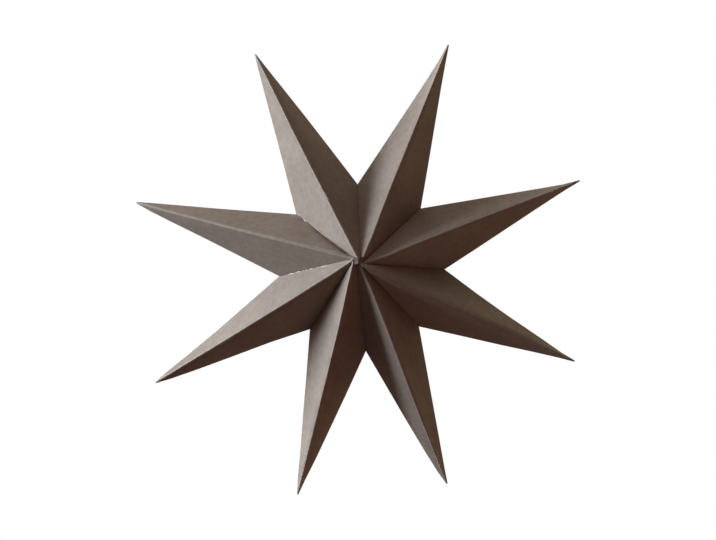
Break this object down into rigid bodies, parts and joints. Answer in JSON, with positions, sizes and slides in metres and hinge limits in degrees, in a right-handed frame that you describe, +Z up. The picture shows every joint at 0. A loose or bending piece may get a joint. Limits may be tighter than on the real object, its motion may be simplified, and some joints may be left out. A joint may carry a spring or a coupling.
{
  "type": "paper star",
  "caption": "Hollow double-sided paper star of folded card points glued flap to flap around its axis, hung by a notch between two points as a window or wall decoration.",
  "frame": {"origin": "the top notch, in the star's middle plane, where the seam between the two upper points ends", "axes": "+Z up as the star hangs, along the pull of whatever holds it; the front faces -Y; +X is to the right seen from the front"},
  "size_m": [0.1882, 0.05, 0.1908],
  "materials": {
    "card": "dyed taupe-brown card, matt with a slight sheen, paler along its creases"
  },
  "bodies": {
    "root": {"upper_left_point": "card", "upper_right_point": "card", "right_upper_point": "card", "right_lower_point": "card", "lower_right_point": "card", "lower_left_point": "card", "left_lower_point": "card", "left_upper_point": "card"}
  },
  "joints": []
}
